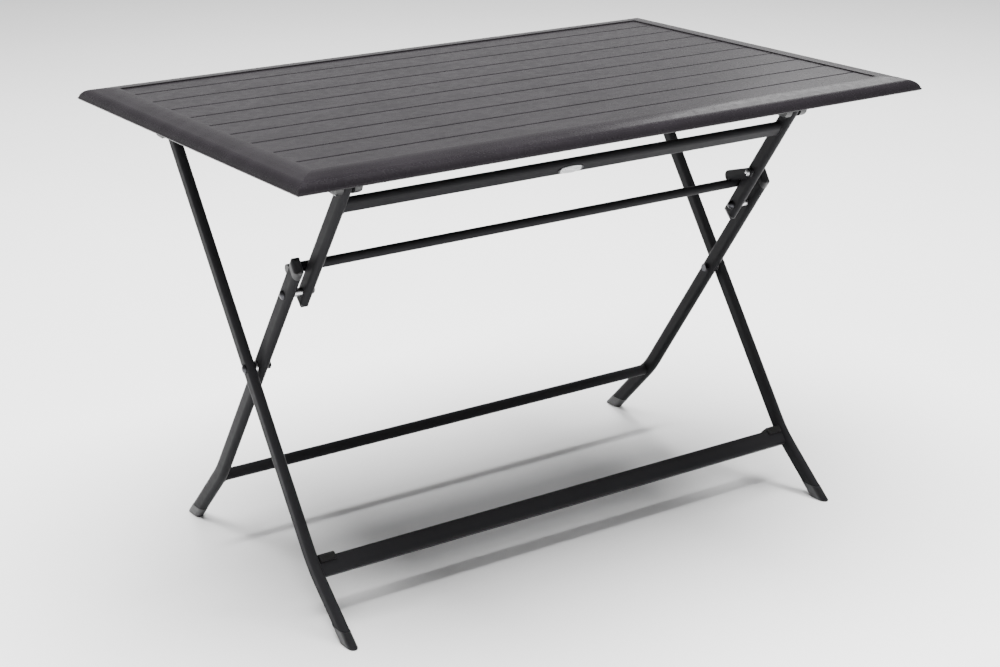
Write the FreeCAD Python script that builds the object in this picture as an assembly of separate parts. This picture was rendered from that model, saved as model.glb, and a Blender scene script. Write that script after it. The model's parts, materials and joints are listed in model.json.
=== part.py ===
import FreeCAD, Part
import math
import os
from FreeCAD import Vector

# Folding picnic table, standing on the floor.  Millimetres.
# X runs along the table, Y from the front edge to the rear edge, Z up.
# The origin is on the floor under the middle of the top.

# ---- driving dimensions -----------------------------------------------------
TOP_LENGTH = 1100.0
TOP_WIDTH = 720.0
TOP_HEIGHT = 720.0

# edge rails of the top: one extrusion, mitred at the four corners
RAIL_WIDTH = 50.0
RAIL_HEIGHT = 19.4
RAIL_WALL = 1.6
RAIL_WEB = 36.0
SLAT_SLOT = 12.0

# the rail's upper side, from the outside in: beaded foot, nose, straight slope, crown, flat lip
BEAD_RADIUS = 1.7
NOSE_SET_IN = 0.9
SLOPE_START = 16.0
CROWN_START = 28.0
CROWN_END = 46.0
CROWN_SLOPE = math.radians(10.0)

# keys in the mitres
KEY_ARM = 70.0
KEY_SET_IN = 12.0
KEY_HEIGHT = 10.0

# slats, tucked under the rails' inner lip
SLAT_COUNT = 10
SLAT_PITCH = 64.7
SLAT_GAP = 2.3
SLAT_HEIGHT = 11.9
SLAT_WALL = 1.1
SLAT_EDGE_RADIUS = 1.9
SLAT_RETURN = 9.0
SLAT_END_GAP = 0.5

# battens across the underside
BATTEN_HEIGHT = 16.0
BATTEN_WALL = 1.4
END_BATTEN_WIDTH = 96.0
MIDDLE_BATTEN_WIDTH = 40.0
END_BATTEN_X = 430.0

# leg frames: flat-oval tube, each frame in its own pair of planes
TUBE_WIDTH = 15.0
TUBE_WALL = 1.5
OUTER_X = 455.0
INNER_X = 435.5
SHORT_X = 405.0
OUTER_DEPTH = 25.5
INNER_DEPTH = 26.5
SHORT_DEPTH = 25.5
LEAN = math.radians(34.9)
BEND_RADIUS = 220.0

# side-view pivots, as (y, z)
SCISSOR_Y = 2.0
SCISSOR_Z = 342.5
HINGE_Z = 665.0
OUTER_BEND_Z = 86.5
OUTER_FOOT_Y = -277.0
INNER_BEND_Z = 112.9
INNER_FOOT_Y = 273.4
PAST_FLOOR = 40.0

# reach of the blocks used for cutting
PAST_TABLE = 800.0
PAST_CAPS = 120.0
PAST_TUBE = 30.0

# crossbars
UPPER_BAR_Z = 630.0
STOP_BAR_RADIUS = 7.5
STOP_BAR_ALONG = 31.5
STOP_BAR_END_X = 434.0
STOP_CLEARANCE = 0.3
LOWER_ROUND_RADIUS = 9.5
LOWER_FLAT_WIDTH = 29.0
LOWER_FLAT_THICKNESS = 16.0
LOWER_FLAT_CORNER = 5.0
OUTER_BAR_PAST_BEND = 6.0
INNER_BAR_PAST_BEND = 16.0

# rubber pads on the lower bar
PAD_THICKNESS = 3.0
PAD_CREST = 4.0
PAD_SKIRT = 9.0
PAD_LIP = 6.0
PAD_CORNER = 3.0
PAD_OUTBOARD = 11.0
PAD_INBOARD = 15.0

# plastic ends
FOOT_CAP_HEIGHT = 20.0
CAP_PROUD = 0.5
TAIL_PROUD = 0.2
SOLE_ROUND = 1.5
SPIGOT_LENGTH = 16.0
HEAD_SPIGOT = 12.0
TAIL_SPIGOT = 8.0
SPIGOT_PLAY = 0.1
HEAD_FRONT = 60.0
HEAD_REAR = 72.0
HEAD_CAP = 14.0
HEAD_ROUND = 6.5
TAIL_FRONT = 27.5
TAIL_REAR = 22.0
TAIL_CAP = 7.0
TAIL_ROUND = 6.0
LEG_TOP_PAST_PIN = 11.0
PLUG_LENGTH = 3.0

# moulded hinge brackets under the top
EAR_THICKNESS = 12.2
EAR_GAP = 1.3
EAR_RADIUS = 12.5
EAR_ROOT = 21.0
EAR_CHAMFER = 4.0
BRACKET_BASE = 7.0
BRACKET_LENGTH = 48.0
BRACKET_ROUND = 3.0
SCREW_FROM_PIN = 17.5
SCREW_RADIUS = 2.2
SCREW_HEAD_RADIUS = 4.2
SCREW_HEAD_DEPTH = 2.4
HINGE_HEAD_RADIUS = 5.5
HINGE_HEAD_HEIGHT = 2.4
HINGE_NUT_RADIUS = 6.0
HINGE_NUT_HEIGHT = 3.2

# pivots
PIN_RADIUS = 4.0
RUNNING_GAP = 0.05
SIDE_GAP = 0.3
HEAD_RADIUS = 7.0
HEAD_HEIGHT = 4.0
HEAD_RIM = 0.3
NUT_RADIUS = 7.0
NUT_HEIGHT = 7.0
SPACER_RADIUS = 6.0
WASHER_RADIUS = 9.0
WASHER_CLEAR = 1.0

# hook that keeps the elbow straight, on the right-hand short leg
HOOK_ALONG = 79.5
HOOK_TIP_Y = -92.5
HOOK_TIP_Z = 530.5
HOOK_PIVOT_RADIUS = 8.0
HOOK_TIP_RADIUS = 9.5
HOOK_OUTER_X = 395.0
HOOK_THICKNESS = 4.5
HOOK_SEAT_GAP = 0.4
HOOK_EXIT = (0.48, -0.877)
HOOK_PIN_RADIUS = 3.0
HOOK_SCREW_HEAD_RADIUS = 5.5
HOOK_SCREW_HEAD_HEIGHT = 3.2

# oval badge
BADGE_LENGTH = 46.0
BADGE_HEIGHT = 15.0
BADGE_THICKNESS = 1.2
BADGE_X = -13.0

# ---- derived places ---------------------------------------------------------
LEAN_TAN = math.tan(LEAN)
SLAT_TOP = TOP_HEIGHT - RAIL_WALL - 0.1
SLAT_BOTTOM = SLAT_TOP - SLAT_HEIGHT
BATTEN_BOTTOM = SLAT_BOTTOM - BATTEN_HEIGHT
RAIL_BOTTOM = TOP_HEIGHT - RAIL_HEIGHT

# unit vectors (y, z): up the short and inner legs, and square to them, rearward
UP = (-math.sin(LEAN), math.cos(LEAN))
REAR = (math.cos(LEAN), math.sin(LEAN))

SCISSOR = (SCISSOR_Y, SCISSOR_Z)
REAR_HINGE = (SCISSOR_Y + LEAN_TAN * (HINGE_Z - SCISSOR_Z), HINGE_Z)
FRONT_HINGE = (SCISSOR_Y - LEAN_TAN * (HINGE_Z - SCISSOR_Z), HINGE_Z)
OUTER_BEND = (SCISSOR_Y - LEAN_TAN * (SCISSOR_Z - OUTER_BEND_Z), OUTER_BEND_Z)
INNER_BEND = (SCISSOR_Y + LEAN_TAN * (SCISSOR_Z - INNER_BEND_Z), INNER_BEND_Z)
OUTER_FOOT = (OUTER_FOOT_Y, 0.0)
INNER_FOOT = (INNER_FOOT_Y, 0.0)
BRACKET_BOTTOM = BATTEN_BOTTOM - BRACKET_BASE
BRACKET_HALF = TUBE_WIDTH / 2 + EAR_GAP + EAR_THICKNESS

# the elbow sits where the four-bar folds flat
HINGE_TO_SCISSOR = (HINGE_Z - SCISSOR_Z) / math.cos(LEAN)
SCISSOR_TO_ELBOW = HINGE_TO_SCISSOR * (1.0 - math.sin(LEAN))


def along(point, direction, distance):
    return (point[0] + distance * direction[0], point[1] + distance * direction[1])


def unit(start, end):
    length = math.hypot(end[0] - start[0], end[1] - start[1])
    return ((end[0] - start[0]) / length, (end[1] - start[1]) / length)


ELBOW = along(SCISSOR, UP, SCISSOR_TO_ELBOW)
STOP_BAR_OFFSET = SHORT_DEPTH / 2 + STOP_BAR_RADIUS + STOP_CLEARANCE
STOP_BAR = along(along(ELBOW, UP, STOP_BAR_ALONG), REAR, STOP_BAR_OFFSET)
UPPER_BAR = (SCISSOR_Y - LEAN_TAN * (UPPER_BAR_Z - SCISSOR_Z), UPPER_BAR_Z)
OUTER_BAR = along(OUTER_BEND, unit(OUTER_BEND, OUTER_FOOT), OUTER_BAR_PAST_BEND)
INNER_BAR = along(INNER_BEND, unit(INNER_BEND, INNER_FOOT), INNER_BAR_PAST_BEND)
HOOK_PIVOT = along(ELBOW, UP, HOOK_ALONG)


# ---- small helpers ----------------------------------------------------------
def save(node, shape):
    shape.exportStep("parts/" + node + ".step")


def mirrored(shape):
    return shape.mirror(Vector(0, 0, 0), Vector(1, 0, 0))


def both_sides(shape):
    return Part.makeCompound([shape, mirrored(shape)])


def save_pair(name, right_shape):
    save(name + "_right", right_shape)
    save(name + "_left", mirrored(right_shape))


def joined(shapes):
    return shapes[0].fuse(shapes[1:]).removeSplitter()


def point(yz, x=0.0):
    return Vector(x, yz[0], yz[1])


def box(x0, x1, y0, y1, z0, z1):
    return Part.makeBox(x1 - x0, y1 - y0, z1 - z0, Vector(x0, y0, z0))


def rod(x0, x1, yz, radius):
    """Round bar along X from x0 to x1, centred on (y, z)."""
    return Part.makeCylinder(radius, x1 - x0, point(yz, x0), Vector(1, 0, 0))


def domed_head(x_face, outward, yz, radius, height):
    """Mushroom head that stands on the plane X = x_face and bulges outward (+1 or -1)."""
    rise = height * (1.0 - HEAD_RIM)
    ball_radius = (radius ** 2 + rise ** 2) / (2 * rise)
    stem = Part.makeCylinder(radius, height, Vector(0, 0, 0), Vector(1, 0, 0))
    head = stem.common(Part.makeSphere(ball_radius, Vector(height - ball_radius, 0, 0)))
    if outward < 0:
        head = mirrored(head)
    head.translate(point(yz, x_face))
    return head


def hex_nut(x0, x1, yz, radius):
    corners = [Vector(x0, yz[0] + radius * math.cos(math.radians(60 * k)),
                      yz[1] + radius * math.sin(math.radians(60 * k))) for k in range(7)]
    return Part.Face(Part.makePolygon(corners)).extrude(Vector(x1 - x0, 0, 0))


def oval_wire(width, depth):
    """Flat-oval outline in the XY plane: flat sides along Y, round ends."""
    r = width / 2
    flat = depth / 2 - r
    return Part.Wire([
        Part.LineSegment(Vector(r, -flat, 0), Vector(r, flat, 0)).toShape(),
        Part.Arc(Vector(r, flat, 0), Vector(0, flat + r, 0), Vector(-r, flat, 0)).toShape(),
        Part.LineSegment(Vector(-r, flat, 0), Vector(-r, -flat, 0)).toShape(),
        Part.Arc(Vector(-r, -flat, 0), Vector(0, -flat - r, 0), Vector(r, -flat, 0)).toShape(),
    ])


def turned_to(shape, start, direction):
    """Turn a shape drawn in the XY plane so that its normal follows direction, and move it."""
    angle = math.degrees(math.atan2(-direction[0], direction[1]))
    turned = shape.copy()
    turned.rotate(Vector(0, 0, 0), Vector(1, 0, 0), angle)
    turned.translate(point(start))
    return turned


def bent_path(start, bend, end, radius):
    """Straight run, tangent arc, straight run, all in the side view."""
    before = unit(start, bend)
    after = unit(bend, end)
    turn = math.acos(before[0] * after[0] + before[1] * after[1])
    reach = radius * math.tan(turn / 2)
    arc_start = along(bend, before, -reach)
    arc_end = along(bend, after, reach)
    bisector = unit((0, 0), (after[0] - before[0], after[1] - before[1]))
    middle = along(bend, bisector, radius / math.cos(turn / 2) - radius)
    return Part.Wire([
        Part.LineSegment(point(start), point(arc_start)).toShape(),
        Part.Arc(point(arc_start), point(middle), point(arc_end)).toShape(),
        Part.LineSegment(point(arc_end), point(end)).toShape(),
    ])


def bent_bar(start, bend, end, width, depth):
    profile = turned_to(oval_wire(width, depth), start, unit(start, bend))
    return bent_path(start, bend, end, BEND_RADIUS).makePipeShell([profile], True, True)


def straight_bar(start, end, width, depth):
    direction = unit(start, end)
    length = math.hypot(end[0] - start[0], end[1] - start[1])
    face = Part.Face(turned_to(oval_wire(width, depth), start, direction))
    return face.extrude(Vector(0, direction[0] * length, direction[1] * length))


def side_prism(points, x0, x1):
    """Polygon given in the side view, as (y, z), made solid from x0 to x1."""
    outline = Part.makePolygon([point(p, x0) for p in points] + [point(points[0], x0)])
    return Part.Face(outline).extrude(Vector(x1 - x0, 0, 0))


def moved_x(shape, x):
    moved = shape.copy()
    moved.translate(Vector(x, 0, 0))
    return moved


# ---- the top ----------------------------------------------------------------
def upright(shape):
    """Turn a shape drawn in the XY plane into the YZ plane: x becomes y, and y becomes z."""
    shape.rotate(Vector(0, 0, 0), Vector(1, 0, 0), 90)
    shape.rotate(Vector(0, 0, 0), Vector(0, 0, 1), 90)
    return shape


def slope_foot():
    """Where the straight slope meets the nose, and the radius of the crown above it."""
    crown_radius = (CROWN_END - CROWN_START) / math.sin(CROWN_SLOPE)
    crown_foot_z = RAIL_HEIGHT - crown_radius * (1.0 - math.cos(CROWN_SLOPE))
    return crown_foot_z - (CROWN_START - SLOPE_START) * math.tan(CROWN_SLOPE), crown_radius


def nose_axes():
    """Half axes of the elliptical nose, upright at its foot and tangent to the straight slope."""
    reach = SLOPE_START - NOSE_SET_IN
    steepness = slope_foot()[0] / (reach * math.tan(CROWN_SLOPE))
    cosine = 1.0 / (steepness - 1.0)
    across = reach / (1.0 - cosine)
    rise = across * math.tan(CROWN_SLOPE) * math.sqrt(1.0 - cosine ** 2) / cosine
    return across, rise


def nose_arc(across, rise, low_z):
    """Part of the nose ellipse from z = low_z up to where it leans at the slope's angle."""
    top = math.pi - math.atan2(rise, across * math.tan(CROWN_SLOPE))
    low = math.pi - math.asin(low_z / rise)
    centre_y = NOSE_SET_IN + nose_axes()[0]
    ellipse = Part.Ellipse(Vector(centre_y, 0, 0), across, rise)
    ends = [Vector(0, centre_y + across * math.cos(a), rise * math.sin(a)) for a in (top, low)]
    return upright(Part.ArcOfEllipse(ellipse, top, low).toShape()), ends[0], ends[1]


def outline_face(curves, corners):
    """Face bounded by some curves and the straight lines between the corners."""
    lines = [Part.LineSegment(p, q).toShape() for p, q in zip(corners, corners[1:])]
    return Part.Face(Part.Wire(curves + lines))


def rail_outer_face():
    """Rail section in the YZ plane, outer edge at y = 0, bottom at z = 0, without its bead."""
    slot_top = RAIL_HEIGHT - RAIL_WALL
    slot_bottom = slot_top - SLAT_SLOT
    across, rise = nose_axes()
    nose, nose_top, nose_foot = nose_arc(across, rise, 0.0)
    crown_radius = slope_foot()[1]

    def crown(angle):
        return Vector(0, CROWN_END - crown_radius * math.sin(angle),
                      RAIL_HEIGHT - crown_radius * (1.0 - math.cos(angle)))

    slope = Part.LineSegment(nose_top, crown(CROWN_SLOPE)).toShape()
    arc = Part.Arc(crown(CROWN_SLOPE), crown(CROWN_SLOPE / 2), crown(0.0)).toShape()
    corners = [crown(0.0), Vector(0, RAIL_WIDTH, RAIL_HEIGHT), Vector(0, RAIL_WIDTH, slot_top),
               Vector(0, RAIL_WEB, slot_top), Vector(0, RAIL_WEB, slot_bottom),
               Vector(0, RAIL_WIDTH, slot_bottom), Vector(0, RAIL_WIDTH, slot_bottom - RAIL_WALL),
               Vector(0, RAIL_WEB, slot_bottom - RAIL_WALL), Vector(0, RAIL_WEB, 0), nose_foot]
    return outline_face([nose, slope, arc], corners)


def rail_chamber_face():
    """Hollow inside the rail's nose."""
    across, rise = nose_axes()
    nose, top, low = nose_arc(across - RAIL_WALL, rise - RAIL_WALL, RAIL_WALL)
    back = RAIL_WEB - RAIL_WALL
    ceiling = top.z + (back - top.y) * math.tan(CROWN_SLOPE)
    return outline_face([nose], [top, Vector(0, back, ceiling), Vector(0, back, RAIL_WALL), low])


def rail(length):
    """Front rail of the given length: outer edge at y = 0, both ends mitred."""
    half = length / 2
    section = rail_outer_face().cut(rail_chamber_face())
    section.translate(Vector(-half, 0, 0))
    bar = section.Faces[0].extrude(Vector(length, 0, 0))
    bead = rod(-half, half, (BEAD_RADIUS, BEAD_RADIUS), BEAD_RADIUS)
    bar = joined([bar, bead])
    reach = RAIL_WIDTH + 5
    wedge = Part.Face(Part.makePolygon([
        Vector(half, 0, -1), Vector(half - reach, reach, -1), Vector(half + 1, reach, -1),
        Vector(half + 1, 0, -1), Vector(half, 0, -1)])).extrude(Vector(0, 0, RAIL_HEIGHT + 2))
    return bar.cut(wedge).cut(mirrored(wedge))


def make_rails():
    front = rail(TOP_LENGTH)
    front.translate(Vector(0, -TOP_WIDTH / 2, RAIL_BOTTOM))
    save("rail_front", front)
    save("rail_rear", front.mirror(Vector(0, 0, 0), Vector(0, 1, 0)))
    side = rail(TOP_WIDTH)
    side.rotate(Vector(0, 0, 0), Vector(0, 0, 1), 90)
    side.translate(Vector(TOP_LENGTH / 2, 0, RAIL_BOTTOM))
    save_pair("rail", side)


def make_corner_keys():
    """Plastic L keys pressed into the hollow noses at the four mitres."""
    inner = RAIL_WEB - RAIL_WALL
    z0 = RAIL_BOTTOM + RAIL_WALL
    z1 = z0 + KEY_HEIGHT
    x_edge = TOP_LENGTH / 2
    y_edge = TOP_WIDTH / 2
    key = box(x_edge - KEY_ARM, x_edge - KEY_SET_IN, KEY_SET_IN - y_edge, inner - y_edge, z0, z1)
    key = key.fuse(box(x_edge - inner, x_edge - KEY_SET_IN, KEY_SET_IN - y_edge, KEY_ARM - y_edge, z0, z1))
    key = key.removeSplitter()
    rear = key.mirror(Vector(0, 0, 0), Vector(0, 1, 0))
    save("corner_keys", Part.makeCompound([key, rear, mirrored(key), mirrored(rear)]))


def slat(y_centre, length):
    """Slat drawn as an inverted channel with rounded top edges and a middle rib."""
    half = (SLAT_PITCH - SLAT_GAP) / 2
    r = SLAT_EDGE_RADIUS
    body = box(-length / 2, length / 2, -half, half, SLAT_BOTTOM, SLAT_TOP)
    top_edges = [e for e in body.Edges if e.BoundBox.ZMin > SLAT_TOP - 0.01 and
                 e.BoundBox.XMax - e.BoundBox.XMin > length / 2]
    body = body.makeFillet(r, top_edges)
    inside = half - SLAT_WALL
    body = body.cut(box(-length, length, -inside, inside, SLAT_BOTTOM + SLAT_WALL, SLAT_TOP - SLAT_WALL))
    opening = inside - SLAT_RETURN
    body = body.cut(box(-length, length, -opening, opening, SLAT_BOTTOM - 1, SLAT_BOTTOM + SLAT_WALL + 1))
    rib = box(-length / 2, length / 2, -SLAT_WALL / 2, SLAT_WALL / 2, SLAT_BOTTOM, SLAT_TOP - SLAT_WALL)
    body = body.fuse(rib).removeSplitter()
    body.translate(Vector(0, y_centre, 0))
    return body


def make_slats():
    length = TOP_LENGTH - 2 * (RAIL_WEB + SLAT_END_GAP)
    for k in range(SLAT_COUNT):
        y_centre = (k - (SLAT_COUNT - 1) / 2) * SLAT_PITCH
        save("slat_%02d" % (k + 1), slat(y_centre, length))


def batten(x_centre, width):
    """Rectangular tube that runs from the front rail to the rear rail under the slats."""
    half_y = TOP_WIDTH / 2 - RAIL_WIDTH - SLAT_END_GAP
    x0 = x_centre - width / 2
    x1 = x_centre + width / 2
    t = BATTEN_WALL
    outside = box(x0, x1, -half_y, half_y, BATTEN_BOTTOM, SLAT_BOTTOM)
    inside = box(x0 + t, x1 - t, -half_y - 1, half_y + 1, BATTEN_BOTTOM + t, SLAT_BOTTOM - t)
    return outside.cut(inside)


def make_battens():
    save_pair("batten", batten(END_BATTEN_X, END_BATTEN_WIDTH))
    save("batten_middle", batten(0.0, MIDDLE_BATTEN_WIDTH))


def bracket_ear(x_inner, outward, pin):
    """Thick ear with a round lower end and a bevel along its lower outer edge."""
    x_outer = x_inner + outward * EAR_THICKNESS
    x0 = min(x_inner, x_outer)
    x1 = max(x_inner, x_outer)
    web = side_prism([(pin[0] - EAR_ROOT, BRACKET_BOTTOM), (pin[0] + EAR_ROOT, BRACKET_BOTTOM),
                      (pin[0] + EAR_RADIUS, pin[1]), (pin[0] - EAR_RADIUS, pin[1])], x0, x1)
    ear = joined([web, rod(x0, x1, pin, EAR_RADIUS)])
    z = pin[1] - EAR_RADIUS
    bevel = Part.Face(Part.makePolygon([
        Vector(x_outer, -EAR_ROOT, z + EAR_CHAMFER), Vector(x_outer - outward * EAR_CHAMFER, -EAR_ROOT, z),
        Vector(x_outer, -EAR_ROOT, z), Vector(x_outer, -EAR_ROOT, z + EAR_CHAMFER)]))
    bevel.translate(Vector(0, pin[0], 0))
    return ear.cut(bevel.extrude(Vector(0, 2 * EAR_ROOT, 0)))


def hinge_bracket(x_centre, pin):
    """Moulded block with two thick ears, for one leg."""
    half_gap = TUBE_WIDTH / 2 + EAR_GAP
    half_y = BRACKET_LENGTH / 2
    base = box(x_centre - BRACKET_HALF, x_centre + BRACKET_HALF, pin[0] - half_y, pin[0] + half_y,
               BRACKET_BOTTOM, BATTEN_BOTTOM)
    upright_edges = [e for e in base.Edges if e.BoundBox.ZMax - e.BoundBox.ZMin > BRACKET_BASE / 2]
    base = base.makeFillet(BRACKET_ROUND, upright_edges)
    ears = [bracket_ear(x_centre + side * half_gap, side, pin) for side in (-1, 1)]
    bracket = joined([base] + ears)
    bracket = bracket.cut(rod(x_centre - BRACKET_HALF, x_centre + BRACKET_HALF, pin, PIN_RADIUS))
    for screw in bracket_screws(x_centre, pin):
        bracket = bracket.cut(screw)
    return bracket


def bracket_screws(x_centre, pin):
    """Countersunk screws up through the bracket's base, between the ears."""
    screws = []
    for side in (-1, 1):
        foot = Vector(x_centre, pin[0] + side * SCREW_FROM_PIN, BRACKET_BOTTOM)
        shank = Part.makeCylinder(SCREW_RADIUS, BRACKET_BASE, foot)
        head = Part.makeCone(SCREW_HEAD_RADIUS, SCREW_RADIUS, SCREW_HEAD_DEPTH, foot)
        screws.append(shank.fuse(head).removeSplitter())
    return screws


def make_hinges():
    places = [("front", SHORT_X, FRONT_HINGE), ("rear", OUTER_X, REAR_HINGE)]
    bolts = []
    nuts = []
    screws = []
    for name, x, pin in places:
        save_pair("hinge_bracket_" + name, hinge_bracket(x, pin))
        head = domed_head(x + BRACKET_HALF, 1, pin, HINGE_HEAD_RADIUS, HINGE_HEAD_HEIGHT)
        shank = rod(x - BRACKET_HALF, x + BRACKET_HALF, pin, PIN_RADIUS)
        bolts.append(head.fuse(shank).removeSplitter())
        nuts.append(hex_nut(x - BRACKET_HALF - HINGE_NUT_HEIGHT, x - BRACKET_HALF, pin, HINGE_NUT_RADIUS))
        screws += bracket_screws(x, pin)
    for node, right in (("hinge_bolts", bolts), ("hinge_nuts", nuts), ("hinge_screws", screws)):
        save(node, Part.makeCompound(right + [mirrored(s) for s in right]))


# ---- outer leg frame: hinged at the rear, feet at the front ------------------
def outer_leg_solid(width, depth):
    top = along(REAR_HINGE, unit(SCISSOR, REAR_HINGE), LEG_TOP_PAST_PIN)
    return bent_bar(top, OUTER_BEND, past_floor(OUTER_BEND, OUTER_FOOT), width, depth)


def past_floor(bend, foot):
    """End of a leg's path, below the floor, so that the floor cuts the whole section."""
    return along(foot, unit(bend, foot), PAST_FLOOR)


def below(z):
    return box(-PAST_TABLE, PAST_TABLE, -PAST_TABLE, PAST_TABLE, -PAST_CAPS, z)


def plug_solid(solid_of, depth):
    """Core that slips into the bore of a leg tube of the given outer depth."""
    t = 2 * (TUBE_WALL + SPIGOT_PLAY)
    return solid_of(TUBE_WIDTH - t, depth - t)


def foot_parts(solid_of, depth, x):
    """Leg tube and foot cap, both cut parallel to the floor."""
    w = TUBE_WIDTH
    t = 2 * TUBE_WALL
    solid = solid_of(w, depth)
    bore = solid_of(w - t, depth - t)
    tube = solid.cut(bore).cut(below(FOOT_CAP_HEIGHT))
    shoe = solid_of(w + 2 * CAP_PROUD, depth + 2 * CAP_PROUD)
    shoe = shoe.cut(below(0)).common(below(FOOT_CAP_HEIGHT))
    spigot = plug_solid(solid_of, depth)
    spigot = spigot.cut(below(FOOT_CAP_HEIGHT)).common(below(FOOT_CAP_HEIGHT + SPIGOT_LENGTH))
    sole = [e for e in shoe.Edges if e.BoundBox.ZMax < 0.01]
    shoe = shoe.makeFillet(SOLE_ROUND, sole)
    cap = shoe.fuse(spigot).removeSplitter()
    return moved_x(tube, x), moved_x(cap, x)


def coped_between(bar, legs):
    """Crossbar with its ends cut to sit on the leg tubes."""
    for leg in legs:
        bar = bar.cut(leg)
    return max(bar.Solids, key=lambda s: s.Volume)


def outer_bar_face(width, thickness, corner, x0):
    """Rounded rectangle in the side view, its wide side along the leg at the bend."""
    leg_up = unit((0, 0), (unit(OUTER_FOOT, OUTER_BEND)[0] + unit(OUTER_BEND, REAR_HINGE)[0],
                           unit(OUTER_FOOT, OUTER_BEND)[1] + unit(OUTER_BEND, REAR_HINGE)[1]))
    block = Part.makeBox(2 * OUTER_X, thickness, width, Vector(x0, -thickness / 2, -width / 2))
    corners = [e for e in block.Edges if e.BoundBox.XMax - e.BoundBox.XMin > OUTER_X]
    block = block.makeFillet(corner, corners)
    block.rotate(Vector(0, 0, 0), Vector(1, 0, 0), -math.degrees(math.atan2(leg_up[0], leg_up[1])))
    block.translate(point(OUTER_BAR))
    return block, leg_up


def rest_pad(bar, leg_up, x0, x1):
    """Rubber saddle over the bar's upper edge, with its long skirt to the rear."""
    rear = (leg_up[1], -leg_up[0])
    side = LOWER_FLAT_THICKNESS / 2 + PAD_THICKNESS
    top = LOWER_FLAT_WIDTH / 2 + PAD_CREST
    bevel = PAD_CORNER

    def at(u, v):
        return along(along(OUTER_BAR, leg_up, u), rear, v)

    outline = [at(-PAD_SKIRT, side), at(top - bevel, side), at(top, side - bevel), at(top, bevel - side),
               at(top - bevel, -side), at(PAD_LIP, -side), at(PAD_LIP, 0), at(-PAD_SKIRT, 0)]
    return side_prism(outline, x0, x1).cut(bar)


def make_outer_frame():
    tube, cap = foot_parts(outer_leg_solid, OUTER_DEPTH, OUTER_X)
    tube = tube.cut(rod(OUTER_X - 20, OUTER_X + 20, REAR_HINGE, PIN_RADIUS + RUNNING_GAP))
    tube = tube.cut(rod(OUTER_X - 20, OUTER_X + 20, SCISSOR, PIN_RADIUS))
    save_pair("outer_leg", tube)
    save_pair("outer_foot_cap", cap)
    save("outer_leg_plugs", both_sides(top_plug(outer_leg_solid, OUTER_DEPTH, OUTER_X, REAR_HINGE,
                                                unit(SCISSOR, REAR_HINGE))))
    solid = moved_x(outer_leg_solid(TUBE_WIDTH, OUTER_DEPTH), OUTER_X)
    bar, leg_up = outer_bar_face(LOWER_FLAT_WIDTH, LOWER_FLAT_THICKNESS, LOWER_FLAT_CORNER, -OUTER_X)
    t = 2 * TUBE_WALL
    bore, leg_up = outer_bar_face(LOWER_FLAT_WIDTH - t, LOWER_FLAT_THICKNESS - t,
                                  LOWER_FLAT_CORNER - TUBE_WALL, -OUTER_X)
    save("outer_crossbar", coped_between(bar.cut(bore), [solid, mirrored(solid)]))
    save_pair("rest_pad", rest_pad(bar, leg_up, INNER_X - PAD_INBOARD, INNER_X + PAD_OUTBOARD))
    inner_face = OUTER_X - TUBE_WIDTH / 2
    washer_face = INNER_X + TUBE_WIDTH / 2 + WASHER_CLEAR
    head = domed_head(OUTER_X + TUBE_WIDTH / 2, 1, SCISSOR, HEAD_RADIUS, HEAD_HEIGHT)
    shank = rod(washer_face, OUTER_X + TUBE_WIDTH / 2, SCISSOR, PIN_RADIUS)
    save("scissor_bolts", both_sides(head.fuse(shank).removeSplitter()))
    washer = rod(washer_face, inner_face, SCISSOR, WASHER_RADIUS).cut(shank)
    save("scissor_washers", both_sides(washer))


def top_plug(solid_of, depth, x, pin, up):
    """Plastic plug flush in the open upper end of a leg."""
    core = plug_solid(solid_of, depth)
    end = along(pin, up, LEG_TOP_PAST_PIN - PLUG_LENGTH)
    side = (up[1], -up[0])
    corners = [along(end, side, -PAST_TUBE), along(end, side, PAST_TUBE)]
    corners += [along(corners[1], up, PAST_TUBE), along(corners[0], up, PAST_TUBE)]
    return moved_x(core.common(side_prism(corners, -PAST_TUBE, PAST_TUBE)), x)


# ---- inner leg frame: crosses the outer one, feet at the rear ----------------
def inner_leg_solid(width, depth):
    top = along(ELBOW, UP, HEAD_REAR + 5)
    return bent_bar(top, INNER_BEND, past_floor(INNER_BEND, INNER_FOOT), width, depth)


def slanted_cut(s_front, s_rear, above):
    """Side-view half plane across the inner or short leg, above or below a slanting line.

    The line crosses the leg's front edge at s_front and its rear edge at s_rear,
    both counted up the leg from the elbow.
    """
    half = INNER_DEPTH / 2
    front = along(along(ELBOW, UP, s_front), REAR, -half)
    rear = along(along(ELBOW, UP, s_rear), REAR, half)
    direction = unit(front, rear)
    a = along(front, direction, -PAST_TUBE)
    b = along(rear, direction, PAST_TUBE)
    reach = PAST_CAPS if above else -PAST_CAPS
    return side_prism([a, b, along(b, UP, reach), along(a, UP, reach)], -PAST_TUBE, PAST_TUBE)


def rounded_end(s_front, s_rear, depth, width, radius, upward):
    """Block as deep and wide as a cap, ending on a slanting face with its edges rounded.

    The end face crosses the leg's front edge at s_front and its rear edge at s_rear,
    both counted up the leg from the elbow.
    """
    half = depth / 2
    root = -PAST_TUBE if upward else PAST_TUBE
    corners = [along(along(ELBOW, UP, s), REAR, side)
               for s, side in ((root, -half), (s_front, -half), (s_rear, half), (root, half))]
    block = side_prism(corners, -width / 2, width / 2)
    middle = (point(corners[1]) + point(corners[2])) * 0.5
    end_face = min(block.Faces, key=lambda f: (f.CenterOfMass - middle).Length)
    return block.makeFillet(radius, end_face.Edges)


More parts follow.
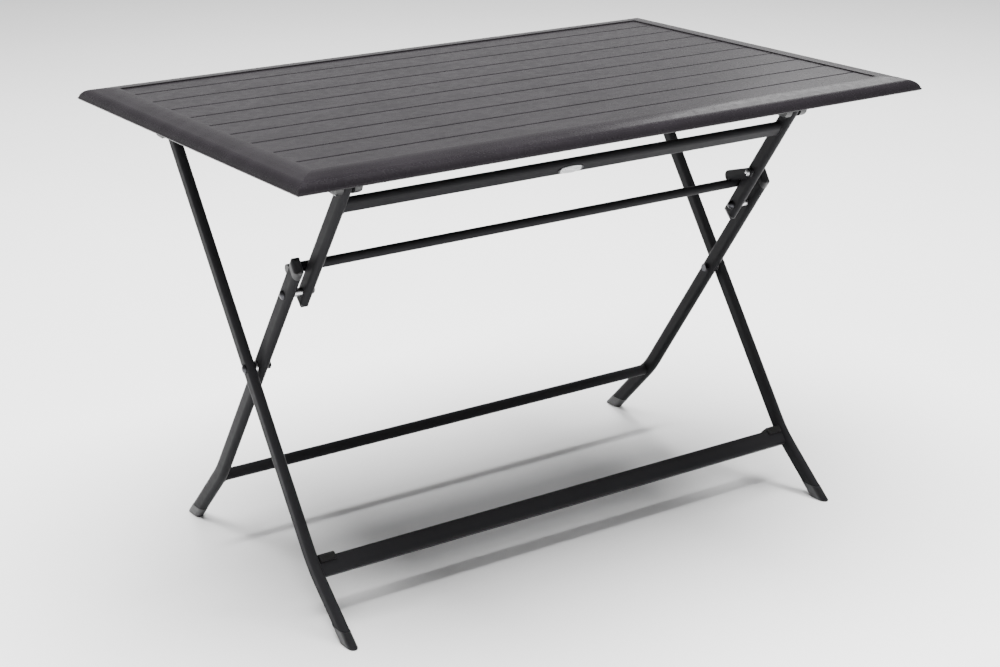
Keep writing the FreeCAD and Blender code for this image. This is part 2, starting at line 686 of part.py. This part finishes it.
def head_parts():
    """Upper end of the inner leg: where the tube is cut, and the slanted plastic cap."""
    cut_tube = slanted_cut(HEAD_FRONT - HEAD_CAP, HEAD_REAR - HEAD_CAP, True)
    low = HEAD_CAP + HEAD_SPIGOT
    spigot_end = slanted_cut(HEAD_FRONT - low, HEAD_REAR - low, True)
    w = TUBE_WIDTH + 2 * CAP_PROUD
    d = INNER_DEPTH + 2 * CAP_PROUD
    shoe = inner_leg_solid(w, d).common(cut_tube)
    shoe = shoe.common(rounded_end(HEAD_FRONT, HEAD_REAR, d, w, HEAD_ROUND, True))
    spigot = plug_solid(inner_leg_solid, INNER_DEPTH).cut(cut_tube).common(spigot_end)
    return cut_tube, shoe.fuse(spigot).removeSplitter()


def make_inner_frame():
    tube, cap = foot_parts(inner_leg_solid, INNER_DEPTH, INNER_X)
    cut_tube, head_cap = head_parts()
    tube = tube.cut(moved_x(cut_tube, INNER_X))
    tube = tube.cut(rod(INNER_X - 20, INNER_X + 20, ELBOW, PIN_RADIUS))
    tube = tube.cut(rod(INNER_X - 20, INNER_X + 20, SCISSOR, PIN_RADIUS))
    save_pair("inner_leg", tube)
    save_pair("inner_foot_cap", cap)
    save_pair("inner_head_cap", moved_x(head_cap, INNER_X))
    solid = moved_x(inner_leg_solid(TUBE_WIDTH, INNER_DEPTH), INNER_X)
    legs = [solid, mirrored(solid)]
    round_bar = rod(-INNER_X, INNER_X, INNER_BAR, LOWER_ROUND_RADIUS)
    round_bar = round_bar.cut(rod(-INNER_X, INNER_X, INNER_BAR, LOWER_ROUND_RADIUS - TUBE_WALL))
    save("inner_crossbar", coped_between(round_bar, legs))
    stop = rod(-STOP_BAR_END_X, STOP_BAR_END_X, STOP_BAR, STOP_BAR_RADIUS)
    bore = rod(-STOP_BAR_END_X, STOP_BAR_END_X, STOP_BAR, STOP_BAR_RADIUS - TUBE_WALL)
    save("stop_bar", coped_between(stop.cut(bore), legs))
    plug = rod(STOP_BAR_END_X - PLUG_LENGTH, STOP_BAR_END_X, STOP_BAR, STOP_BAR_RADIUS - TUBE_WALL)
    save("stop_bar_plugs", both_sides(plug))
    make_elbow_pins()
    inner_face = INNER_X - TUBE_WIDTH / 2
    stub = rod(inner_face - NUT_HEIGHT, INNER_X + TUBE_WIDTH / 2, SCISSOR, PIN_RADIUS)
    nut = hex_nut(inner_face - NUT_HEIGHT, inner_face, SCISSOR, NUT_RADIUS)
    save("scissor_nuts", both_sides(nut.fuse(stub).removeSplitter()))


def make_elbow_pins():
    outer_face = INNER_X + TUBE_WIDTH / 2
    inner_face = INNER_X - TUBE_WIDTH / 2
    short_outer = SHORT_X + TUBE_WIDTH / 2
    short_inner = SHORT_X - TUBE_WIDTH / 2
    head = domed_head(outer_face, 1, ELBOW, HEAD_RADIUS, HEAD_HEIGHT)
    nut_face = short_inner - SIDE_GAP
    shank = rod(nut_face, outer_face, ELBOW, PIN_RADIUS)
    save("elbow_bolts", both_sides(head.fuse(shank).removeSplitter()))
    spacer = rod(short_outer + SIDE_GAP, inner_face, ELBOW, SPACER_RADIUS).cut(shank)
    save("elbow_spacers", both_sides(spacer))
    nut = domed_head(nut_face, -1, ELBOW, NUT_RADIUS, NUT_HEIGHT)
    save("elbow_nuts", both_sides(nut))


# ---- short legs: hinged at the front, joined to the inner legs at the elbow ---
def short_leg_solid(width, depth):
    return straight_bar(along(ELBOW, UP, -TAIL_FRONT - 5), along(FRONT_HINGE, UP, LEG_TOP_PAST_PIN),
                        width, depth)


def make_short_legs():
    t = 2 * TUBE_WALL
    cut_tube = slanted_cut(TAIL_CAP - TAIL_FRONT, TAIL_CAP - TAIL_REAR, False)
    bore = short_leg_solid(TUBE_WIDTH - t, SHORT_DEPTH - t)
    tube = short_leg_solid(TUBE_WIDTH, SHORT_DEPTH).cut(bore).cut(cut_tube)
    tube = moved_x(tube, SHORT_X)
    for pin in (ELBOW, FRONT_HINGE):
        tube = tube.cut(rod(SHORT_X - 20, SHORT_X + 20, pin, PIN_RADIUS + RUNNING_GAP))
    screw_hole = rod(SHORT_X - 20, SHORT_X, HOOK_PIVOT, HOOK_PIN_RADIUS)
    save("short_leg_right", tube.cut(screw_hole))
    save("short_leg_left", mirrored(tube))
    w = TUBE_WIDTH + 2 * TAIL_PROUD
    d = SHORT_DEPTH + 2 * TAIL_PROUD
    shoe = short_leg_solid(w, d).common(cut_tube)
    shoe = shoe.common(rounded_end(-TAIL_FRONT, -TAIL_REAR, d, w, TAIL_ROUND, False))
    high = TAIL_CAP + TAIL_SPIGOT
    spigot = plug_solid(short_leg_solid, SHORT_DEPTH).cut(cut_tube)
    spigot = spigot.common(slanted_cut(high - TAIL_FRONT, high - TAIL_REAR, False))
    spigot = spigot.cut(rod(-PAST_TUBE, PAST_TUBE, ELBOW, PIN_RADIUS + 1))
    save_pair("short_tail_cap", moved_x(shoe.fuse(spigot).removeSplitter(), SHORT_X))
    save("short_leg_plugs", both_sides(top_plug(short_leg_solid, SHORT_DEPTH, SHORT_X, FRONT_HINGE, UP)))
    make_upper_crossbar()


def make_upper_crossbar():
    """Flat-oval bar welded between the short legs, wide faces square to the legs."""
    t = 2 * TUBE_WALL
    bar = oval_rod(SHORT_DEPTH, TUBE_WIDTH).cut(oval_rod(SHORT_DEPTH - t, TUBE_WIDTH - t))
    solid = moved_x(short_leg_solid(TUBE_WIDTH, SHORT_DEPTH), SHORT_X)
    save("upper_crossbar", coped_between(bar, [solid, mirrored(solid)]))
    disc = Part.Face(Part.Wire([Part.Ellipse(Vector(0, 0, 0), BADGE_LENGTH / 2, BADGE_HEIGHT / 2).toShape()]))
    badge = disc.extrude(Vector(0, 0, BADGE_THICKNESS))
    badge = turned_to(badge, along(UPPER_BAR, REAR, -TUBE_WIDTH / 2), (-REAR[0], -REAR[1]))
    save("badge", moved_x(badge, BADGE_X))


def oval_rod(length_up, thickness):
    """Flat-oval bar along X, centred on the upper bar's place, long side up the leg."""
    r = thickness / 2
    flat = length_up / 2 - r

    def at(u, v):
        return point(along(along(UPPER_BAR, UP, u), REAR, v), -SHORT_X)

    wire = Part.Wire([
        Part.LineSegment(at(-flat, r), at(flat, r)).toShape(),
        Part.Arc(at(flat, r), at(flat + r, 0), at(flat, -r)).toShape(),
        Part.LineSegment(at(flat, -r), at(-flat, -r)).toShape(),
        Part.Arc(at(-flat, -r), at(-flat - r, 0), at(-flat, r)).toShape(),
    ])
    return Part.Face(wire).extrude(Vector(2 * SHORT_X, 0, 0))


# ---- hook -------------------------------------------------------------------
def hook_outline(start, start_radius, end, end_radius, x0, x1):
    """Two discs and the tangent plate between them."""
    direction = unit(start, end)
    side = (-direction[1], direction[0])
    gap = math.hypot(end[0] - start[0], end[1] - start[1])
    tilt = math.asin((end_radius - start_radius) / gap)
    up_side = along((0, 0), side, math.cos(tilt))
    up_side = along(up_side, direction, -math.sin(tilt))
    low_side = along((0, 0), side, -math.cos(tilt))
    low_side = along(low_side, direction, -math.sin(tilt))
    plate = side_prism([along(start, up_side, start_radius), along(end, up_side, end_radius),
                        along(end, low_side, end_radius), along(start, low_side, start_radius)], x0, x1)
    return joined([plate, rod(x0, x1, start, start_radius), rod(x0, x1, end, end_radius)])


def make_hook():
    x1 = HOOK_OUTER_X
    x0 = x1 - HOOK_THICKNESS
    tip = (HOOK_TIP_Y, HOOK_TIP_Z)
    hook = hook_outline(HOOK_PIVOT, HOOK_PIVOT_RADIUS, tip, HOOK_TIP_RADIUS, x0, x1)
    seat = STOP_BAR_RADIUS + HOOK_SEAT_GAP
    exit_end = along(STOP_BAR, HOOK_EXIT, PAST_TUBE)
    hook = hook.cut(hook_outline(STOP_BAR, seat, exit_end, seat, x0 - 1, x1 + 1))
    hook = max(hook.Solids, key=lambda s: s.Volume)
    hook = hook.cut(rod(x0 - 1, x1 + 1, HOOK_PIVOT, HOOK_PIN_RADIUS + RUNNING_GAP))
    save("latch_hook", hook)
    leg_face = SHORT_X - TUBE_WIDTH / 2
    head_face = x0 - SIDE_GAP
    head = domed_head(head_face, -1, HOOK_PIVOT, HOOK_SCREW_HEAD_RADIUS, HOOK_SCREW_HEAD_HEIGHT)
    shank = rod(head_face, leg_face + TUBE_WALL, HOOK_PIVOT, HOOK_PIN_RADIUS)
    save("latch_screw", head.fuse(shank).removeSplitter())
    bush = rod(x1 + SIDE_GAP, leg_face, HOOK_PIVOT, SPACER_RADIUS).cut(shank)
    save("latch_bush", bush)


os.makedirs("parts", exist_ok=True)
make_rails()
make_corner_keys()
make_slats()
make_battens()
make_hinges()
make_outer_frame()
make_inner_frame()
make_short_legs()
make_hook()
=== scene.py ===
"""Looks of the folding picnic table: paint, plastics, welds, badge, floor, light and camera. Metres."""

import json
import math
import random

import bmesh
import bpy
from mathutils import Matrix, Vector
from mathutils.geometry import convex_hull_2d


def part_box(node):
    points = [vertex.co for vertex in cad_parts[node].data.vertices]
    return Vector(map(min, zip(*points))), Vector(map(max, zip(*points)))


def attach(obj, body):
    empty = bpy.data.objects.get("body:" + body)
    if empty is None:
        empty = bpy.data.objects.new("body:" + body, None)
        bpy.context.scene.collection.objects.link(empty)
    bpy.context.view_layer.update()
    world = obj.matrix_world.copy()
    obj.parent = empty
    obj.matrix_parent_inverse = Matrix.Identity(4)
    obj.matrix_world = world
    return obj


# ---- colours, light and camera ----------------------------------------------
TOP_COLOUR = (0.0125, 0.0110, 0.0128)
LEG_COLOUR = (0.0165, 0.0163, 0.0176)

PLASTIC_COLOUR = (0.012, 0.012, 0.013)
RUBBER_COLOUR = (0.008, 0.008, 0.008)
BLACK_STEEL = (0.055, 0.055, 0.060)
ZINC = (0.62, 0.62, 0.63)
BADGE_SILVER = (0.72, 0.72, 0.73)
BADGE_BORDER = (0.02, 0.02, 0.022)
FLOOR_DARK = (0.90, 0.90, 0.90)
FLOOR_LIGHT = (0.93, 0.93, 0.93)
FLOOR_REACH = 40.0

# surroundings: the strength of each part, and the dot products between which it fades
HORIZON_GLOW = 13.0
CEILING_GLOW = 6.0
CORNER_GLOW = 1.0
CORNER_DIRECTION = (0.72, 0.62, 0.30)
SKY_GLOW = 0.2
HORIZON_FADE = (0.12, 0.56)
CEILING_FADE = (0.80, 1.0)
CORNER_FADE = (0.55, 1.0)
UP = (0.0, 0.0, 1.0)

CAMERA_PLACE = (-1.65393, -2.47368, 1.33937)
CAMERA_YAW = 0.58794
CAMERA_PITCH = 0.33405
CAMERA_ROLL = -0.00909
CAMERA_LENS = 69.85
CAMERA_SENSOR = 36.0

# weld beads round the crossbar ends
BEAD_RADIUS = 0.0016
BEAD_PITCH = 0.0024
BEAD_RIPPLE = 0.10
BEAD_STEPS_PER_PITCH = 6
BEAD_SIDES = 10
BEAD_WANDER = 0.15
END_FACE_DEPTH = 0.0005

# where the painted border of the badge begins and is full, as parts of its radius
BORDER_BEGINS = 0.80
BORDER_FULL = 0.84

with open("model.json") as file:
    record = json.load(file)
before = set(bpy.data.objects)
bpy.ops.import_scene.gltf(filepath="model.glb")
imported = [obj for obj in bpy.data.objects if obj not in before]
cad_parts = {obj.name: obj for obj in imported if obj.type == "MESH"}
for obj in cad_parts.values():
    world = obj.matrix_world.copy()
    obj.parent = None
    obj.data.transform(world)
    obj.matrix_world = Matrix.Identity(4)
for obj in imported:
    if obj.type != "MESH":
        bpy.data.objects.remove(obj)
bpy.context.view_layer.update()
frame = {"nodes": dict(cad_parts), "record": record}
NODES = frame["nodes"]
RECORD = frame["record"]


# ---- node helpers -----------------------------------------------------------
class Nodes:
    """A short way to wire one material."""

    def __init__(self, name):
        self.mat = bpy.data.materials.new(name)
        self.mat.use_nodes = True
        self.tree = self.mat.node_tree
        self.shader = self.tree.nodes["Principled BSDF"]
        self.coords = self.add("ShaderNodeTexCoord")

    def add(self, kind, **settings):
        node = self.tree.nodes.new(kind)
        for key, value in settings.items():
            if key in node.inputs:
                node.inputs[key].default_value = value
            else:
                setattr(node, key, value)
        return node

    def link(self, a, b):
        self.tree.links.new(a, b)

    def noise(self, scale, detail=3.0, stretch=(1.0, 1.0, 1.0), rough=0.55):
        mapping = self.add("ShaderNodeMapping")
        mapping.inputs["Scale"].default_value = stretch
        self.link(self.coords.outputs["Object"], mapping.inputs["Vector"])
        node = self.add("ShaderNodeTexNoise")
        node.inputs["Scale"].default_value = scale
        node.inputs["Detail"].default_value = detail
        node.inputs["Roughness"].default_value = rough
        self.link(mapping.outputs["Vector"], node.inputs["Vector"])
        return node.outputs["Fac"]

    def ramp(self, source, stops):
        node = self.add("ShaderNodeValToRGB")
        while len(node.color_ramp.elements) < len(stops):
            node.color_ramp.elements.new(0.5)
        for element, (at, colour) in zip(node.color_ramp.elements, stops):
            element.position = at
            element.color = tuple(colour) + (1.0,)
        self.link(source, node.inputs["Fac"])
        return node.outputs["Color"]

    def span(self, source, low, high, from_low=0.3, from_high=0.7):
        node = self.add("ShaderNodeMapRange")
        node.inputs["From Min"].default_value = from_low
        node.inputs["From Max"].default_value = from_high
        node.inputs["To Min"].default_value = low
        node.inputs["To Max"].default_value = high
        self.link(source, node.inputs["Value"])
        return node.outputs["Result"]

    def bump(self, source, strength, distance, under=None):
        node = self.add("ShaderNodeBump")
        node.inputs["Strength"].default_value = strength
        node.inputs["Distance"].default_value = distance
        self.link(source, node.inputs["Height"])
        if under is not None:
            self.link(under, node.inputs["Normal"])
        return node.outputs["Normal"]

    def set(self, **values):
        for name, value in values.items():
            socket = self.shader.inputs[name.replace("_", " ")]
            if isinstance(value, bpy.types.NodeSocket):
                self.link(value, socket)
            else:
                socket.default_value = value


def shade(colour, factor):
    return tuple(c * factor for c in colour)


def powder_coat(name, colour, rough, grain, gloss, mottle=0.14):
    """Satin textured paint: fine orange-peel bump, faint cloudy tone, uneven gloss."""
    m = Nodes(name)
    cloud = m.noise(22.0, 4.0, (0.5, 1.0, 1.0))
    tone = m.ramp(cloud, [(0.3, shade(colour, 1.0 - mottle)), (0.7, shade(colour, 1.0 + mottle))])
    fine = m.noise(1500.0, 2.0)
    broad = m.noise(90.0, 3.0)
    peel = m.bump(fine, grain, 0.0001, m.bump(broad, 0.05, 0.0001))
    m.set(Base_Color=tone, Roughness=m.span(broad, rough - 0.05, rough + 0.05), Normal=peel)
    m.set(Specular_IOR_Level=gloss)
    return m.mat


def moulded(name, colour, rough, grain):
    """Matt moulded plastic or rubber."""
    m = Nodes(name)
    tone = m.ramp(m.noise(60.0, 3.0), [(0.3, shade(colour, 0.8)), (0.7, shade(colour, 1.25))])
    m.set(Base_Color=tone, Roughness=m.span(m.noise(140.0, 3.0), rough - 0.06, rough + 0.06),
          Normal=m.bump(m.noise(900.0, 3.0), grain, 0.0003))
    return m.mat


def bright_metal(name, colour, rough, brushed):
    """Plated steel with fine turned marks."""
    m = Nodes(name)
    lines = m.noise(500.0, 2.0, brushed)
    tone = m.ramp(lines, [(0.25, shade(colour, 0.86)), (0.75, shade(colour, 1.08))])
    m.set(Base_Color=tone, Metallic=1.0, Roughness=m.span(lines, rough - 0.08, rough + 0.08),
          Normal=m.bump(lines, 0.12, 0.0002))
    return m.mat


def badge_plate(name, silver, border):
    """Satin plate with a thin dark painted border near its edge."""
    m = Nodes(name)
    low, high = (Vector(corner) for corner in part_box("badge"))
    radius = max(high.x - low.x, high.z - low.z) / 2
    reach = m.add("ShaderNodeVectorMath", operation="DISTANCE")
    reach.inputs[1].default_value = (low + high) / 2
    m.link(m.coords.outputs["Object"], reach.inputs[0])
    lines = m.noise(500.0, 2.0, (0.1, 1.0, 1.0))
    face = m.ramp(lines, [(0.25, shade(silver, 0.86)), (0.75, shade(silver, 1.08))])
    on_border = m.span(reach.outputs["Value"], 0.0, 1.0, BORDER_BEGINS * radius, BORDER_FULL * radius)
    mix = m.add("ShaderNodeMix", data_type="RGBA")
    m.link(on_border, mix.inputs["Factor"])
    m.link(face, mix.inputs["A"])
    mix.inputs["B"].default_value = tuple(border) + (1.0,)
    m.link(mix.outputs["Result"], m.shader.inputs["Base Color"])
    m.set(Metallic=m.span(on_border, 1.0, 0.0, 0.0, 1.0), Roughness=m.span(lines, 0.24, 0.36))
    return m.mat


MATERIALS = {
    "frame_paint": powder_coat("paint_frame", TOP_COLOUR, rough=0.26, grain=0.06, gloss=0.22),
    "slat_paint": powder_coat("paint_slats", TOP_COLOUR, rough=0.29, grain=0.08, gloss=0.26),
    "leg_paint": powder_coat("paint_legs", LEG_COLOUR, rough=0.40, grain=0.03, gloss=0.04, mottle=0.04),
    "black_plastic": moulded("plastic_black", PLASTIC_COLOUR, rough=0.42, grain=0.15),
    "pad_rubber": moulded("rubber_pad", RUBBER_COLOUR, rough=0.60, grain=0.30),
    "dark_steel": bright_metal("steel_black", BLACK_STEEL, rough=0.34, brushed=(1.0, 0.3, 0.3)),
    "bright_steel": bright_metal("steel_zinc", ZINC, rough=0.30, brushed=(1.0, 0.15, 0.15)),
    "badge_metal": badge_plate("badge_silver", BADGE_SILVER, BADGE_BORDER),
}

for part in RECORD["subparts"]:
    mesh = NODES[part["node"]].data
    mesh.materials.clear()
    mesh.materials.append(MATERIALS[part["material_slot"]])


# ---- weld beads -------------------------------------------------------------
def end_outline(node, side):
    """Outer corners, in order, of a crossbar's end face, and the x of that face."""
    low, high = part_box(node)
    end = high[0] if side > 0 else low[0]
    near = [(v.co.y, v.co.z) for v in NODES[node].data.vertices if abs(v.co.x - end) < END_FACE_DEPTH]
    return [Vector(near[i]) for i in convex_hull_2d(near)], end


def walk(corners, step):
    """Even points along a closed outline, each with its outward direction."""
    middle = sum(corners, Vector((0.0, 0.0))) / len(corners)
    points = []
    for a, b in zip(corners, corners[1:] + corners[:1]):
        run = b - a
        count = max(1, round(run.length / step))
        out = Vector((run.y, -run.x)).normalized()
        if out.dot(a - middle) < 0:
            out = -out
        points += [(a + run * k / count, out) for k in range(count)]
    return points


def weld(node, side, body):
    """A rippled bead in the corner between a crossbar and the face of a leg."""
    corners, end = end_outline(node, side)
    step = BEAD_PITCH / BEAD_STEPS_PER_PITCH
    path = walk(corners, step)
    name = "weld_" + node + ("_right" if side > 0 else "_left")
    chance = random.Random(name)
    build = bmesh.new()
    rings = []
    wander = 0.0
    for k, (at, out) in enumerate(path):
        wander += BEAD_WANDER * (chance.uniform(-1.0, 1.0) - wander)
        swell = 1.0 + BEAD_RIPPLE * math.cos(math.tau * k / BEAD_STEPS_PER_PITCH) + wander
        ring = []
        for j in range(BEAD_SIDES):
            turn = math.tau * j / BEAD_SIDES
            away = out * (BEAD_RADIUS * swell * math.cos(turn))
            x = end - side * BEAD_RADIUS * swell * math.sin(turn)
            ring.append(build.verts.new((x, at.x + away.x, at.y + away.y)))
        rings.append(ring)
    for here, after in zip(rings, rings[1:] + rings[:1]):
        for j in range(BEAD_SIDES):
            i = (j + 1) % BEAD_SIDES
            build.faces.new((here[j], after[j], after[i], here[i]))
    bmesh.ops.recalc_face_normals(build, faces=build.faces)
    mesh = bpy.data.meshes.new(name)
    build.to_mesh(mesh)
    build.free()
    for face in mesh.polygons:
        face.use_smooth = True
    mesh.materials.append(MATERIALS["leg_paint"])
    bead = bpy.data.objects.new(name, mesh)
    bpy.context.scene.collection.objects.link(bead)
    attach(bead, body)


for crossbar, body in (("outer_crossbar", "outer_leg_frame"), ("inner_crossbar", "inner_leg_frame"),
                       ("upper_crossbar", "short_leg_frame")):
    for side in (-1, 1):
        weld(crossbar, side, body)


# ---- floor, light, camera ---------------------------------------------------
def make_floor():
    mesh = bpy.data.meshes.new("floor")
    r = FLOOR_REACH
    mesh.from_pydata([(-r, -r, 0), (r, -r, 0), (r, r, 0), (-r, r, 0)], [], [(0, 1, 2, 3)])
    floor = bpy.data.objects.new("floor", mesh)
    bpy.context.scene.collection.objects.link(floor)
    m = Nodes("floor_pale")
    m.set(Base_Color=m.ramp(m.noise(0.8, 2.0), [(0.3, FLOOR_DARK), (0.7, FLOOR_LIGHT)]), Roughness=0.75)
    mesh.materials.append(m.mat)


def softbox(name, place, target, width, height, power, mirrored):
    """A soft rectangular lamp; one that isn't mirrored lights without showing in the paint's gloss."""
    light = bpy.data.lights.new(name, "AREA")
    light.shape = "RECTANGLE"
    light.size = width
    light.size_y = height
    light.energy = power
    lamp = bpy.data.objects.new(name, light)
    lamp.location = place
    lamp.visible_glossy = mirrored
    aim = Vector(target) - Vector(place)
    lamp.rotation_euler = aim.to_track_quat("-Z", "Y").to_euler()
    bpy.context.scene.collection.objects.link(lamp)


def make_sky():
    """Pale surroundings: bright near the floor line, overhead, and behind to the right."""
    world = bpy.data.worlds.new("studio")
    world.use_nodes = True
    tree = world.node_tree
    sky = tree.nodes["Background"]
    coords = tree.nodes.new("ShaderNodeTexCoord")

    def lit_from(direction, low, high, fade):
        dot = tree.nodes.new("ShaderNodeVectorMath")
        dot.operation = "DOT_PRODUCT"
        dot.inputs[1].default_value = Vector(direction).normalized()
        tree.links.new(coords.outputs["Generated"], dot.inputs[0])
        span = tree.nodes.new("ShaderNodeMapRange")
        span.inputs["From Min"].default_value = fade[0]
        span.inputs["From Max"].default_value = fade[1]
        span.inputs["To Min"].default_value = low
        span.inputs["To Max"].default_value = high
        tree.links.new(dot.outputs["Value"], span.inputs["Value"])
        return span.outputs["Result"]

    def plus(first, second):
        total = tree.nodes.new("ShaderNodeMath")
        total.operation = "ADD"
        tree.links.new(first, total.inputs[0])
        tree.links.new(second, total.inputs[1])
        return total.outputs["Value"]

    band = lit_from(UP, HORIZON_GLOW, SKY_GLOW, HORIZON_FADE)
    ceiling = lit_from(UP, 0.0, CEILING_GLOW, CEILING_FADE)
    corner = lit_from(CORNER_DIRECTION, 0.0, CORNER_GLOW, CORNER_FADE)
    tree.links.new(plus(plus(band, ceiling), corner), sky.inputs["Strength"])
    bpy.context.scene.world = world


def make_light():
    make_sky()
    softbox("overhead", place=(0.0, 0.1, 5.0), target=(0.0, 0.0, 0.0),
            width=5.0, height=4.4, power=1400.0, mirrored=False)
    softbox("right_back", place=(3.2, 2.2, 2.6), target=(0.0, 0.0, 0.6),
            width=1.2, height=1.4, power=16.0, mirrored=True)
    softbox("right_front", place=(2.1, -2.3, 2.7), target=(0.0, 0.0, 0.4),
            width=0.25, height=1.8, power=22.0, mirrored=False)


def make_camera():
    yaw, pitch, roll = CAMERA_YAW, CAMERA_PITCH, CAMERA_ROLL
    ahead = Vector((math.sin(yaw) * math.cos(pitch), math.cos(yaw) * math.cos(pitch), -math.sin(pitch)))
    right = Vector((math.cos(yaw), -math.sin(yaw), 0.0))
    up = right.cross(ahead)
    across = right * math.cos(roll) + up * math.sin(roll)
    upward = up * math.cos(roll) - right * math.sin(roll)
    data = bpy.data.cameras.new("camera")
    data.sensor_width = CAMERA_SENSOR
    data.lens = CAMERA_LENS
    camera = bpy.data.objects.new("camera", data)
    turn = Matrix((across, upward, -ahead)).transposed()
    camera.matrix_world = Matrix.Translation(CAMERA_PLACE) @ turn.to_4x4()
    bpy.context.scene.collection.objects.link(camera)
    bpy.context.scene.camera = camera


make_floor()
make_light()
make_camera()
